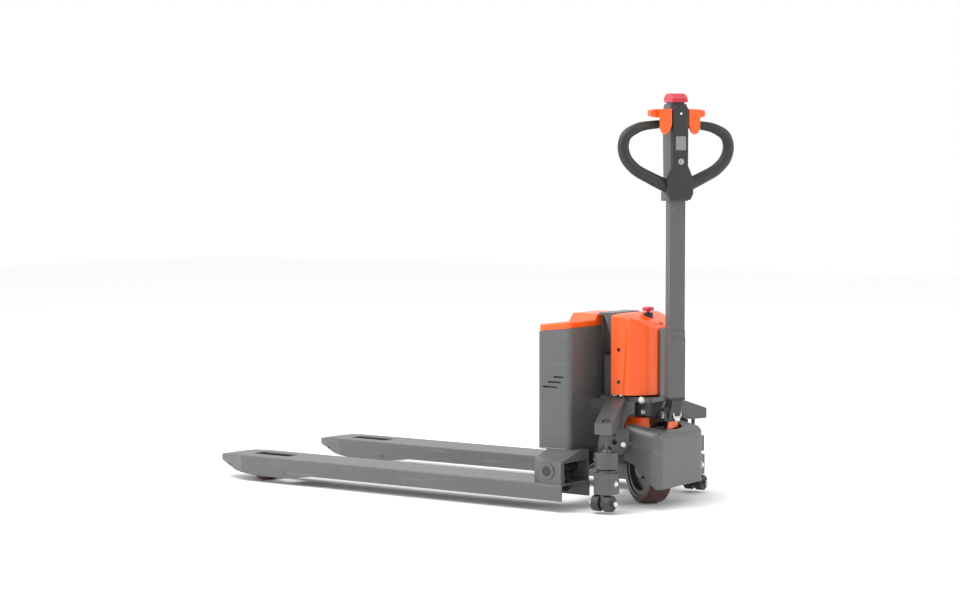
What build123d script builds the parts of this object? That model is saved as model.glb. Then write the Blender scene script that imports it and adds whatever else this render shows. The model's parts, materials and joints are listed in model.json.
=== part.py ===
"""Electric pallet truck, walk-behind, with a lifting fork frame and a steered drive wheel.

Millimetres, +Z up. The origin is on the floor under the steering axis. +X points to the
operator's end and the forks run towards -X. Left is -Y and right is +Y.
"""
from math import asin, cos, degrees, radians, sin
import os

from build123d import *

os.makedirs("parts", exist_ok=True)

# Overall sizes
fork_length = 1220.0     # tip to the face of the battery box
fork_spread = 685.0      # over the outsides of both forks
fork_width = 160.0
fork_depth = 50.0
fork_top = 85.0          # height of the carrying face, lowered
fork_wall = 5.0
lift_height = 115.0
axis_setback = 248.0     # the steering axis behind the battery box's face
steer_rest = -34.0       # degrees, the way the tiller points when parked

# Clearances
running = 0.05           # radial, shaft in bore
gap = 0.5                # between pieces that pass each other
air = 3.0                # between pieces that must never touch

# Wheels
drive_radius = 105.0
drive_width = 70.0
hub_radius = 80.0
load_radius = 37.0
load_width = 60.0
load_axle_radius = 10.0
entry_radius = 13.0
entry_width = 28.0
entry_height = 47.0
caster_wheel_radius = 24.0
caster_wheel_width = 26.0
caster_float = 8.0       # the side casters stand clear of a level floor
caster_spread = 262.0    # each caster from the centre plane
caster_x = 15.0
caster_trail = 16.0

# Fork tip
nose_straight = 1090.0   # all distances forward of the box's face
nose_under = 1124.0
foot_front = 1030.0
foot_back = 894.0
foot_rise = 797.0
foot_height = 22.0
nose_half_width = 38.0
window_front = 1085.0
window_back = 934.0
window_width = 52.0

# Roller bracket and push rod
bracket_pivot = 909.0    # forward of the box's face
bracket_height = 37.0
bracket_arm = 136.0
bracket_pin_radius = 8.0
bracket_ear = 6.0
rod_pick_radius = 28.0
rod_pin_radius = 4.0
rod_radius = 8.0

# Heel, rocker and its arms
heel_back = 150.0        # behind the box's face
rocker_back = 98.0
rocker_height = 122.0
rocker_shaft_radius = 15.0
rocker_boss = 22.0
lever_width = 16.0
arm_inner = 160.0
arm_plate = 12.0
arm_pin_radius = 8.0
cheek_front = 75.0
cheek_rear = 146.0
cheek_inset = 4.0
cheek_flare = 24.0
cheek_wall = 8.0
cheek_foot = 38.0        # the cheeks' front foot ahead of their face
slot_front = 40.0        # slot in the fork's top for the rocker's lever
weld_groove = 1.0        # where the carrying face ends at the cheeks
cheek_face_top = 150.0

# Battery box
box_depth = 117.0
box_half = 242.0
box_bottom = 176.0
box_front_top = 529.0
box_rear_top = 542.0
box_wall = 4.0
box_corner = 14.0
vent_height = 5.0
cap_rise = 21.0
cap_crown = 14.0

# Lift cylinder and crown
cylinder_back = 150.0
barrel_radius = 22.0
rod_shaft_radius = 12.0
barrel_top = 500.0
crown_top = 582.0
crown_half = 78.0
crown_seat = 62.0
crown_low = 516.0
crown_reach = 168.0
plate = 8.0

# Chassis head and steering
head_top = 331.0
head_plate = 14.0
head_front = 128.0       # behind the box's face
head_rear = 312.0
head_half = 100.0
neck_half = 30.0         # stiffening neck in front of the steering housing
housing_radius = 42.5
housing_bottom = 269.0
spindle_radius = 26.0
turntable_top = 231.0
turntable_bottom = 216.0

# Power cover
cover_bottom = 337.0
cover_top = 582.0
cover_flat_end = 222.0
cover_low_top = 547.0
cover_front = 180.0
cover_side = 110.0
cover_knee = 244.0
cover_shoulder_x = 286.0
cover_shoulder_y = 68.0
cover_nose_x = 301.0
cover_nose_y = 30.0
cover_wall = 3.0

# Fender
fender_front = 118.0
fender_half_front = 140.0
fender_rear = 2.0
fender_half_rear = 148.0
fender_bottom = 62.0
fender_top = 230.0       # of the rim at the front, and at the rear edge
fender_rear_top = 252.0
fender_wall = 6.0
fender_opening = 101.0

# Tiller
pivot_out = 150.0        # hinge of the tiller, from the steering axis
pivot_height = 285.0
pivot_pin_radius = 8.0
foot_half = 17.0
ear_plate = 8.0
post_out = 177.0
post_width = 50.0
post_depth = 30.0
sheath_width = 54.0
sheath_depth = 36.0
sheath_bottom = 340.0
sheath_top = 517.0
post_top = 946.0
head_width = 54.0
head_low = 922.0
socket_bottom = 924.0
socket_half = 33.0
head_high = 1214.0
loop_radius = 17.5
loop_reach = 173.0       # of the loop's centre line
belly_travel = 4.0


def behind(distance):
    """x of a point this far behind the battery box's face."""
    return distance - axis_setback


def ahead(distance):
    """x of a point this far ahead of the battery box's face."""
    return -distance - axis_setback


def across(y):
    """Upright plane along the truck at this y, facing the left side."""
    return Plane.XZ.offset(-y)


def square_to(x):
    """Upright plane across the truck at this x, facing the operator."""
    return Plane.YZ.offset(x)


steer_out = Vector(cos(radians(steer_rest)), sin(radians(steer_rest)), 0)
steer_side = Vector(-steer_out.Y, steer_out.X, 0)


def steered_plan(height):
    """Level plane whose x runs out along the tiller's direction."""
    return Plane(origin=(0, 0, height), x_dir=steer_out, z_dir=(0, 0, 1))


def steered_across(offset):
    """Upright plane along the tiller's direction, this far to its side, facing back across it."""
    return Plane(origin=steer_side * offset, x_dir=steer_out, z_dir=-steer_side)


def steered_face(distance):
    """Upright plane square to the tiller's direction, this far out, facing outwards."""
    return Plane(origin=steer_out * distance, x_dir=steer_side, z_dir=steer_out)


def save(piece, name):
    """Label a finished piece and write its file."""
    piece.part.label = name
    export_step(piece.part, f"parts/{name}.step")


sides = {"left": -1.0, "right": 1.0}
fork_centre = (fork_spread - fork_width) / 2
tip_x = ahead(fork_length)
heel_x = behind(heel_back)
fork_under = fork_top - fork_depth
bracket_x = ahead(bracket_pivot)
roller_x = bracket_x - bracket_arm
bracket_turn = asin(lift_height / bracket_arm)
pick_x = rod_pick_radius * sin(bracket_turn / 2)
pick_rise = rod_pick_radius * cos(bracket_turn / 2)
rocker_x = behind(rocker_back)
rocker_arm = lift_height / (2 * sin(bracket_turn / 2))
entry_x = ahead(fork_length - 62.0)
lug_inner = arm_inner + arm_plate + 4.0


# ---------------------------------------------------------------- forks
def make_fork(centre):
    """A folded channel, open below, with a closed nose, a roller window and deeper walls there."""
    half = fork_width / 2
    with BuildPart() as fork:
        with BuildSketch(across(centre)):
            with BuildLine():
                Polyline(
                    (heel_x, fork_under), (heel_x, fork_top), (ahead(fork_length - 70), fork_top),
                    (ahead(fork_length - 6), fork_top - 9), (tip_x, fork_top - 15),
                    (tip_x, fork_top - 22), (ahead(nose_under), fork_under - 4),
                    (ahead(foot_front), foot_height), (ahead(foot_back), foot_height),
                    (ahead(foot_rise), fork_under), close=True)
            make_face()
        extrude(amount=half, both=True)
        with BuildSketch():
            with BuildLine():
                Polyline(
                    (heel_x, centre - half), (ahead(nose_straight), centre - half),
                    (tip_x, centre - nose_half_width), (tip_x, centre + nose_half_width),
                    (ahead(nose_straight), centre + half), (heel_x, centre + half), close=True)
            make_face()
            fillet(vertices().group_by(Axis.X)[0], nose_half_width * 0.9)
        extrude(amount=fork_top, mode=Mode.INTERSECT)
        top_edges = edges().filter_by(Axis.X).group_by(Axis.Z)[-1]
        fillet(top_edges, fork_wall * 0.8)
        with BuildSketch(across(centre)):
            with BuildLine():
                Polyline(
                    (heel_x + 1, -1), (heel_x + 1, fork_top - fork_wall),
                    (ahead(nose_straight - 5), fork_top - fork_wall), (ahead(nose_straight - 5), -1),
                    close=True)
            make_face()
        extrude(amount=half - fork_wall, both=True, mode=Mode.SUBTRACT)
        with BuildSketch(Plane.XY.offset(fork_top - 2 * fork_wall)):
            with Locations((ahead((window_front + window_back) / 2), centre)):
                RectangleRounded(window_front - window_back, window_width, 8)
            with Locations((behind((slot_front + heel_back + 5) / 2), centre)):
                Rectangle(heel_back + 5 - slot_front, 2 * (lever_width / 2 + 12))
        extrude(amount=3 * fork_wall, mode=Mode.SUBTRACT)
        with BuildSketch(Plane.XY.offset(fork_top - weld_groove)):
            with Locations((behind(cheek_front - cheek_foot) - weld_groove, centre)):
                Rectangle(weld_groove, fork_width + 2)
        extrude(amount=weld_groove + 1, mode=Mode.SUBTRACT)
        with BuildSketch(Plane.XY.offset(fork_under - 20)):
            with Locations((entry_x, centre)):
                Rectangle(2 * entry_radius + 6, entry_width + 6)
        extrude(amount=entry_height + entry_radius + 3 - fork_under + 20, mode=Mode.SUBTRACT)
        with BuildSketch(across(centre)):
            with Locations((bracket_x, bracket_height)):
                Circle(bracket_pin_radius + running)
        extrude(amount=half + 1, both=True, mode=Mode.SUBTRACT)
        with BuildSketch(across(centre)):
            with Locations((entry_x, entry_height)):
                Circle(4 + running)
        extrude(amount=half + 1, both=True, mode=Mode.SUBTRACT)
    return fork


for side, sign in sides.items():
    save(make_fork(sign * fork_centre), f"fork_{side}")

# Pins that carry the roller brackets, and the small axles of the entry rollers
with BuildPart() as bracket_pins:
    for sign in sides.values():
        with BuildSketch(across(sign * fork_centre)):
            with Locations((bracket_x, bracket_height)):
                Circle(bracket_pin_radius)
        extrude(amount=fork_width / 2, both=True)
        with BuildSketch(across(sign * fork_centre)):
            with Locations((entry_x, entry_height)):
                Circle(4)
        extrude(amount=entry_width / 2 + 12, both=True)
save(bracket_pins, "bracket_pins")

with BuildPart() as entry_rollers:
    for sign in sides.values():
        with BuildSketch(across(sign * fork_centre)):
            with Locations((entry_x, entry_height)):
                Circle(entry_radius)
                Circle(4 + running, mode=Mode.SUBTRACT)
        extrude(amount=entry_width / 2, both=True)
save(entry_rollers, "entry_rollers")


# ---------------------------------------------------------------- roller brackets and rollers
def make_bracket(centre):
    """Two ears joined by a tube on the bracket pin, with the load roller's axle across their ends."""
    ear_inner = load_width / 2 + air
    with BuildPart() as bracket:
        for sign in sides.values():
            with BuildSketch(across(centre + sign * (ear_inner + bracket_ear / 2))):
                with BuildLine():
                    Polyline(
                        (roller_x - 16, bracket_height - 14), (roller_x + 4, bracket_height - 18),
                        (bracket_x + 6, bracket_height - 14), (bracket_x + 14, bracket_height),
                        (bracket_x + pick_x + 12, bracket_height + pick_rise + 2),
                        (bracket_x + pick_x + 4, bracket_height + pick_rise + 12),
                        (bracket_x + pick_x - 7, bracket_height + pick_rise + 12),
                        (bracket_x - 20, bracket_height + 16),
                        (roller_x - 10, bracket_height + 15), (roller_x - 18, bracket_height + 6),
                        close=True)
                make_face()
                with Locations((bracket_x, bracket_height)):
                    Circle(bracket_pin_radius + running, mode=Mode.SUBTRACT)
                with Locations((bracket_x + pick_x, bracket_height + pick_rise)):
                    Circle(rod_pin_radius + 4, mode=Mode.SUBTRACT)
            extrude(amount=bracket_ear / 2, both=True)
        with BuildSketch(across(centre)):
            with Locations((bracket_x, bracket_height)):
                Circle(bracket_pin_radius + 5)
                Circle(bracket_pin_radius + running, mode=Mode.SUBTRACT)
        extrude(amount=ear_inner + 0.5, both=True)
        with BuildSketch(across(centre)):
            with Locations((roller_x, bracket_height)):
                Circle(load_axle_radius)
        extrude(amount=ear_inner + bracket_ear + 2, both=True)
    return bracket


def make_load_roller(centre):
    """A wide roller, bored for its axle, with softened edges."""
    with BuildPart() as roller:
        with BuildSketch(across(centre)):
            with Locations((roller_x, bracket_height)):
                Circle(load_radius)
                Circle(load_axle_radius + running, mode=Mode.SUBTRACT)
        extrude(amount=load_width / 2, both=True)
        rims = edges().filter_by(GeomType.CIRCLE).filter_by(lambda e: e.radius > load_radius - 1)
        fillet(rims, 4)
    return roller


def make_push_rod(centre):
    """A cranked rod from the rocker's crank to the bracket's pick-up pin, inside the fork."""
    low = bracket_height + pick_rise
    high = rocker_height - pick_rise
    with BuildPart() as rod:
        with BuildSketch(square_to(bracket_x + pick_x)):
            with Locations((centre, low)):
                Circle(rod_radius)
        extrude(amount=behind(24) - bracket_x - pick_x)
        with BuildSketch(across(centre)):
            with Locations((bracket_x + pick_x, low)):
                Circle(rod_radius)
        extrude(amount=rod_radius - 1, both=True)
        with BuildSketch(across(centre)):
            with Locations((bracket_x + pick_x, low)):
                Circle(rod_pin_radius)
        extrude(amount=load_width / 2 + air + bracket_ear + 4, both=True)
        clevis_inner = lever_width / 2 + 1.5
        with BuildSketch(across(centre)):
            with BuildLine():
                Polyline(
                    (behind(12), low - rod_radius), (behind(45), low - rod_radius),
                    (rocker_x + pick_x + 10, high - 6), (rocker_x + pick_x + 6, high + 8),
                    (rocker_x + pick_x - 8, high + 8), (behind(56), low + rod_radius),
                    (behind(12), low + rod_radius), close=True)
            make_face()
        extrude(amount=clevis_inner + 5, both=True)
        with BuildSketch(across(centre)):
            with Locations((behind(80), (low + high) / 2)):
                Rectangle(2 * (80 - 30), 140)
        extrude(amount=clevis_inner, both=True, mode=Mode.SUBTRACT)
        with BuildSketch(across(centre)):
            with Locations((rocker_x + pick_x, high)):
                Circle(rod_pin_radius)
        extrude(amount=clevis_inner + 4, both=True)
    return rod


for side, sign in sides.items():
    save(make_bracket(sign * fork_centre), f"roller_bracket_{side}")
    save(make_load_roller(sign * fork_centre), f"load_roller_{side}")
    save(make_push_rod(sign * fork_centre), f"push_rod_{side}")

# ---------------------------------------------------------------- heel: cheeks, cross tube, rocker
cheek_face = fork_spread / 2 - cheek_inset
cheek_inner = fork_spread / 2 - fork_width
with BuildPart() as pivot_cheeks:
    for sign in sides.values():
        with BuildSketch(Plane.XY.offset(fork_top)):
            with BuildLine():
                Polyline(
                    (behind(cheek_front), sign * cheek_face), (behind(cheek_rear), sign * cheek_face),
                    (behind(cheek_rear) + 2, sign * (cheek_face - cheek_flare)),
                    (behind(cheek_rear) + 2, sign * cheek_inner),
                    (behind(cheek_front) - cheek_foot, sign * cheek_inner),
                    (behind(cheek_front) - cheek_foot, sign * (cheek_face - cheek_flare)), close=True)
            make_face()
        extrude(amount=box_bottom - fork_top)
        with BuildSketch(square_to(behind(cheek_front) - 40)):
            with BuildLine():
                Polyline(
                    (sign * box_half, box_bottom), (sign * cheek_face, cheek_face_top),
                    (sign * (cheek_face + 5), cheek_face_top), (sign * (cheek_face + 5), box_bottom + 1),
                    (sign * box_half, box_bottom + 1), close=True)
            make_face()
        extrude(amount=cheek_rear - cheek_front + 50, mode=Mode.SUBTRACT)
        with BuildSketch(Plane.XY.offset(fork_top)):
            with Locations((behind(cheek_rear - 45), sign * (cheek_face + cheek_inner - 10) / 2)):
                Rectangle(106, cheek_face - cheek_inner - 10 - 2 * cheek_wall)
        extrude(amount=cheek_face_top - 4 - fork_top, mode=Mode.SUBTRACT)
        with BuildSketch(across(sign * cheek_face)):
            with Locations((rocker_x, rocker_height)):
                Circle(24)
        extrude(amount=-sign * cheek_inset)
        with BuildSketch(across(sign * fork_centre)):
            with Locations((rocker_x, rocker_height)):
                Circle(rocker_shaft_radius + running)
        extrude(amount=fork_width, both=True, mode=Mode.SUBTRACT)
save(pivot_cheeks, "pivot_cheeks")

with BuildPart() as heel_tube:
    with BuildSketch(across(0)):
        with Locations((behind(44), (box_bottom + 98) / 2)):
            RectangleRounded(52, box_bottom - 98, 8)
            RectangleRounded(42, box_bottom - 108, 4, mode=Mode.SUBTRACT)
    extrude(amount=cheek_inner, both=True)
save(heel_tube, "heel_tube")

with BuildPart() as rocker_shaft:
    with BuildSketch(across(0)):
        with Locations((rocker_x, rocker_height)):
            Circle(rocker_shaft_radius)
    extrude(amount=fork_spread / 2 - 1, both=True)
    with BuildSketch(across(0)):
        with Locations((rocker_x, rocker_height)):
            Circle(rocker_shaft_radius + 8)
            Circle(rocker_shaft_radius, mode=Mode.SUBTRACT)
    extrude(amount=arm_inner, both=True)
save(rocker_shaft, "rocker_shaft")

arm_end_x = rocker_x + rocker_arm * cos(bracket_turn / 2)
arm_end_z = rocker_height + rocker_arm * sin(bracket_turn / 2)
with BuildPart() as rocker_levers:
    for sign in sides.values():
        with BuildSketch(across(sign * fork_centre)):
            with Locations((rocker_x, rocker_height)):
                Circle(rocker_boss)
            with Locations((rocker_x + pick_x + 8, rocker_height - 52)):
                Circle(15)
            make_hull()
            with Locations((rocker_x, rocker_height)):
                Circle(rocker_shaft_radius, mode=Mode.SUBTRACT)
            crank_slack = rod_pick_radius - pick_rise + 1
            with Locations(Location((
                    rocker_x + pick_x * (1 - crank_slack / 2 / rod_pick_radius),
                    rocker_height - pick_rise * (1 - crank_slack / 2 / rod_pick_radius), 0),
                    (0, 0, degrees(bracket_turn / 2) - 90))):
                SlotOverall(2 * rod_pin_radius + 2 + crank_slack, 2 * rod_pin_radius + 2, mode=Mode.SUBTRACT)
        extrude(amount=lever_width / 2, both=True)
        with BuildSketch(across(sign * (arm_inner + arm_plate / 2))):
            with Locations((rocker_x, rocker_height)):
                Circle(rocker_boss)
            with Locations((arm_end_x, arm_end_z)):
                Circle(16)
            make_hull()
            with Locations((rocker_x, rocker_height)):
                Circle(rocker_shaft_radius, mode=Mode.SUBTRACT)
        extrude(amount=arm_plate / 2, both=True)
        with BuildSketch(across(sign * (arm_inner + arm_plate))):
            with Locations((arm_end_x, arm_end_z)):
                Circle(arm_pin_radius)
        extrude(amount=-sign * 20)
save(rocker_levers, "rocker_levers")

# ---------------------------------------------------------------- battery box, pack and cap
def box_slope(x):
    """Height of the battery box's rim at this x."""
    return box_front_top + (box_rear_top - box_front_top) * (x - behind(0)) / box_depth


with BuildPart() as battery_box:
    with BuildSketch(Plane.XY.offset(box_bottom)):
        with Locations((behind(box_depth / 2), 0)):
            RectangleRounded(box_depth, 2 * box_half, box_corner)
    extrude(amount=box_rear_top - box_bottom + 5)
    with BuildSketch(Plane.XY.offset(box_bottom + box_wall)):
        with Locations((behind(box_depth / 2), 0)):
            RectangleRounded(box_depth - 2 * box_wall, 2 * (box_half - box_wall), box_corner - box_wall)
    extrude(amount=box_rear_top - box_bottom + 5, mode=Mode.SUBTRACT)
    with BuildSketch(across(0)):
        with BuildLine():
            Polyline(
                (behind(-5), box_slope(behind(-5))),
                (behind(box_depth + 5), box_slope(behind(box_depth + 5))),
                (behind(box_depth + 5), box_rear_top + 20), (behind(-5), box_rear_top + 20), close=True)
        make_face()
    extrude(amount=box_half + 5, both=True, mode=Mode.SUBTRACT)
    with BuildSketch(across(0)):
        for low, start, end in ((363.0, 19.0, 72.0), (378.0, 38.0, 85.0), (394.0, 58.0, 94.0)):
            with Locations((behind((start + end) / 2), low)):
                SlotOverall(end - start, vent_height)
    extrude(amount=box_half + 5, both=True, mode=Mode.SUBTRACT)
save(battery_box, "battery_box")

pack_margin = box_wall + air
with BuildPart() as battery_pack:
    with BuildSketch(Plane.XY.offset(box_bottom + box_wall)):
        with Locations((behind(box_depth / 2), 0)):
            RectangleRounded(box_depth - 2 * pack_margin, 2 * (box_half - pack_margin), box_corner - box_wall)
    extrude(amount=box_front_top - 12 - box_bottom - box_wall)
    fillet(edges().group_by(Axis.Z)[-1], 5)
save(battery_pack, "battery_pack")

with BuildPart() as battery_cap:
    with BuildSketch(across(0)):
        with BuildLine():
            Polyline(
                (behind(3), box_slope(behind(3)) + gap),
                (behind(box_depth - 3), box_slope(behind(114)) + gap),
                (behind(box_depth - 3), box_slope(behind(114)) + cap_rise),
                (behind(3), box_slope(behind(3)) + cap_rise), close=True)
        make_face()
    extrude(amount=box_half - 3, both=True)
    fillet(edges().filter_by(Axis.Z), 10)
    fillet(edges().filter_by(Axis.Y).group_by(Axis.Z)[-1], 6)
    with BuildSketch(square_to(behind(24))):
        with BuildLine():
            Polyline(
                (-112, box_rear_top + 2), (-78, box_rear_top + cap_rise + cap_crown),
                (78, box_rear_top + cap_rise + cap_crown), (112, box_rear_top + 2), close=True)
        make_face()
    extrude(amount=box_depth - 27)
    with BuildSketch(Plane.XY.offset(box_front_top - 11)):
        with Locations((behind(box_depth / 2), 0)):
            RectangleRounded(box_depth - 2 * pack_margin, 2 * (box_half - pack_margin), box_corner - box_wall)
    extrude(amount=24)
save(battery_cap, "battery_cap")

# ---------------------------------------------------------------- lift cylinder and crown
cylinder_x = behind(cylinder_back)
with BuildPart() as crown_plate:
    with BuildSketch(square_to(behind(box_depth))):
        with BuildLine():
            Polyline(
                (-crown_seat, crown_low), (crown_seat, crown_low),
                (crown_seat, crown_top - 4), (-crown_seat, crown_top - 4), close=True)
        make_face()
    extrude(amount=box_wall)
    with BuildSketch(Plane.XY.offset(crown_top - plate)):
        with Locations((behind((box_depth + crown_reach) / 2), 0)):
            Rectangle(crown_reach - box_depth, 2 * crown_half)
    extrude(amount=plate)
    for sign in sides.values():
        with BuildSketch(across(sign * (crown_half - 3))):
            with BuildLine():
                Polyline(
                    (behind(box_depth + 14), crown_top), (behind(crown_reach - 8), crown_low - 8),
                    (behind(crown_reach), crown_low - 8), (behind(crown_reach), crown_top), close=True)
            make_face()
        extrude(amount=3, both=True)
    with BuildSketch(Plane.XY.offset(crown_top - plate - 16)):
        with Locations((cylinder_x, 0)):
            Circle(rod_shaft_radius + 5)
    extrude(amount=16)
save(crown_plate, "crown_plate")

with BuildPart() as cylinder_rod:
    with BuildSketch(Plane.XY.offset(head_top + 14)):
        with Locations((cylinder_x, 0)):
            Circle(rod_shaft_radius)
    extrude(amount=crown_top - plate - 16 - head_top - 14)
save(cylinder_rod, "cylinder_rod")

with BuildPart() as cylinder_barrel:
    with BuildSketch(Plane.XY.offset(head_top)):
        with Locations((cylinder_x, 0)):
            Circle(barrel_radius)
    extrude(amount=barrel_top - head_top)
    with BuildSketch(Plane.XY.offset(head_top + 8)):
        with Locations((cylinder_x, 0)):
            Circle(rod_shaft_radius + running)
    extrude(amount=barrel_top - head_top, mode=Mode.SUBTRACT)
    with BuildSketch(Plane.XY.offset(head_top + 8)):
        with Locations((cylinder_x, 0)):
            Circle(barrel_radius - 4)
    extrude(amount=barrel_top - head_top - 8 - 24, mode=Mode.SUBTRACT)
save(cylinder_barrel, "cylinder_barrel")

# ---------------------------------------------------------------- chassis head and caster arms
spindle_bore = spindle_radius + running
with BuildPart() as chassis_head:
    with BuildSketch(Plane.XY.offset(head_top - head_plate)):
        with Locations((behind((head_front + head_rear) / 2), 0)):
            RectangleRounded(head_rear - head_front, 2 * head_half, 12)
    extrude(amount=head_plate)
    with BuildSketch(Plane.XY.offset(housing_bottom)):
        Circle(housing_radius)
    extrude(amount=head_top - head_plate - housing_bottom)
    with BuildSketch(across(0)):
        with BuildLine():
            Polyline(
                (0, housing_bottom + 3), (housing_radius + 4, housing_bottom + 3),
                (72, head_top - head_plate),
                (0, head_top - head_plate), close=True)
        make_face()
    extrude(amount=neck_half, both=True)
    with BuildSketch(Plane.XY.offset(housing_bottom)):
        Circle(spindle_bore)
    extrude(amount=head_top - housing_bottom - 6, mode=Mode.SUBTRACT)
    for sign in sides.values():
        with BuildSketch(Plane.XY.offset(head_top)):
            with Locations((cylinder_x - 2, sign * (crown_half - 14))):
                Rectangle(34, 8)
        extrude(amount=120)
save(chassis_head, "chassis_head")


# Caster arms: a bent plate down and out to each caster, with an upright lug for the rocker's pin
arm_seat = 236.0         # underside and top of the arm's outer end
arm_seat_top = 268.0
arm_root = 303.0         # underside where it meets the head plate
arm_end = caster_spread + 26
lug_low = 165.0
lug_hole_radius = 8.5
fender_bolt_z = 198.0
fender_bolt_x = 24.0


def make_caster_arm(sign):
    """A bent plate cut to its plan outline, with the lug plate welded under it."""
    with BuildPart() as arm:
        with BuildSketch(square_to(behind(140))):
            with BuildLine():
                Polyline(
                    (sign * (head_half + gap), arm_root), (sign * (caster_spread - 34), arm_seat),
                    (sign * arm_end, arm_seat), (sign * arm_end, arm_seat_top),
                    (sign * (head_half + gap + 2), head_top),
                    (sign * (head_half + gap), head_top), close=True)
            make_face()
        extrude(amount=170)
        with BuildSketch():
            with BuildLine():
                Polyline(
                    (behind(163), sign * head_half), (behind(228), sign * head_half),
                    (caster_x + 28, sign * arm_end), (caster_x - 32, sign * arm_end), close=True)
            make_face()
        extrude(amount=head_top + 1, mode=Mode.INTERSECT)
        lug_mid = lug_inner + plate / 2
        with BuildSketch(across(sign * lug_mid)):
            with BuildLine():
                Polyline(
                    (behind(200), 268), (behind(228), 266), (behind(284), 240), (behind(284), 200),
                    (behind(262), lug_low), (behind(180), lug_low), (behind(180), 200), close=True)
            make_face()
            with Locations((behind(234), 228), (behind(237), 203)):
                Circle(lug_hole_radius, mode=Mode.SUBTRACT)
            with Locations((fender_bolt_x, fender_bolt_z)):
                Circle(5 + running, mode=Mode.SUBTRACT)
            slot_run = rocker_arm * (1 - cos(bracket_turn / 2))
            with Locations((arm_end_x + slot_run / 2, arm_end_z)):
                SlotOverall(slot_run + 2 * arm_pin_radius + 4, 2 * arm_pin_radius + 4, mode=Mode.SUBTRACT)
        extrude(amount=plate / 2, both=True)
        with BuildSketch(Plane.XY.offset(arm_seat - 10)):
            with Locations((caster_x - 6, sign * caster_spread)):
                Circle(6 + running)
        extrude(amount=60, mode=Mode.SUBTRACT)
        with BuildSketch(Plane.XY.offset(arm_seat_top - 3)):
            with Locations((caster_x - 6, sign * caster_spread)):
                Circle(15)
        extrude(amount=40, mode=Mode.SUBTRACT)
    return arm


# Casters: spring housing with its stem through the arm, swivelling block, twin wheels
housing_low = 134.0
housing_high = 182.0
block_top = 130.0
block_bottom = 58.0
cup_radius = 36.0
axle_height = caster_wheel_radius + caster_float
stem_x = caster_x - 6.0


def make_caster_housing(centre):
    """The fixed cup, with a domed top and a threaded stem up through the arm's end."""
    with BuildPart() as housing:
        with BuildSketch(Plane.XY.offset(housing_low)):
            with Locations((stem_x, centre)):
                Circle(cup_radius)
        extrude(amount=housing_high - housing_low)
        fillet(edges().group_by(Axis.Z)[-1], 4)
        with BuildSketch(Plane.XY.offset(housing_high)):
            with Locations((stem_x, centre)):
                Circle(16)
        extrude(amount=9, taper=25)
        with BuildSketch(Plane.XY.offset(housing_high)):
            with Locations((stem_x, centre)):
                Circle(6)
        extrude(amount=arm_seat_top + 7 - housing_high)
        with BuildSketch(Plane.XY.offset(arm_seat_top - 3)):
            with Locations((stem_x, centre)):
                RegularPolygon(10, 6)
        extrude(amount=8)
        with BuildSketch(Plane.XY.offset(housing_low)):
            with Locations((stem_x, centre)):
                Circle(12 + running)
        extrude(amount=30, mode=Mode.SUBTRACT)
    return housing


def make_caster_fork(centre, sign):
    """The swivelling block with its spigot, and a web down between the twin wheels to their axle."""
    axle_y = centre + sign * caster_trail
    with BuildPart() as fork:
        with BuildSketch(Plane.XY.offset(block_bottom)):
            with Locations((stem_x, centre)):
                RectangleRounded(62, 58, 10)
        extrude(amount=block_top - 8 - block_bottom)
        with BuildSketch(Plane.XY.offset(block_top - 8)):
            with Locations((stem_x, centre)):
                Circle(28)
        extrude(amount=8)
        with BuildSketch(Plane.XY.offset(block_top)):
            with Locations((stem_x, centre)):
                Circle(12)
        extrude(amount=30)
        with BuildSketch(square_to(stem_x)):
            with BuildLine():
                Polyline(
                    (centre - 22, block_bottom + 4), (centre + 22, block_bottom + 4),
                    (axle_y + 12, axle_height), (axle_y + 8, axle_height - 11),
                    (axle_y - 8, axle_height - 11), (axle_y - 12, axle_height), close=True)
            make_face()
        extrude(amount=6, both=True)
        with BuildSketch(square_to(stem_x)):
            with Locations((axle_y, axle_height)):
                Circle(8)
        extrude(amount=6 + gap + caster_wheel_width + 9, both=True)
    return fork


def make_caster_wheels(centre, sign):
    """Twin wheels on one axle, one each side of the web."""
    axle_y = centre + sign * caster_trail
    with BuildPart() as wheels:
        for way in sides.values():
            middle = stem_x + way * (6 + gap + caster_wheel_width / 2)
            with BuildSketch(square_to(middle)):
                with Locations((axle_y, axle_height)):
                    Circle(caster_wheel_radius)
                    Circle(8 + running, mode=Mode.SUBTRACT)
            extrude(amount=caster_wheel_width / 2, both=True)
        rims = edges().filter_by(GeomType.CIRCLE).filter_by(lambda e: e.radius > caster_wheel_radius - 1)
        fillet(rims, 3)
    return wheels


for side, sign in sides.items():
    save(make_caster_arm(sign), f"caster_arm_{side}")
    save(make_caster_housing(sign * caster_spread), f"caster_housing_{side}")
    save(make_caster_fork(sign * caster_spread, sign), f"caster_fork_{side}")
    save(make_caster_wheels(sign * caster_spread, sign), f"caster_wheels_{side}")

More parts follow.
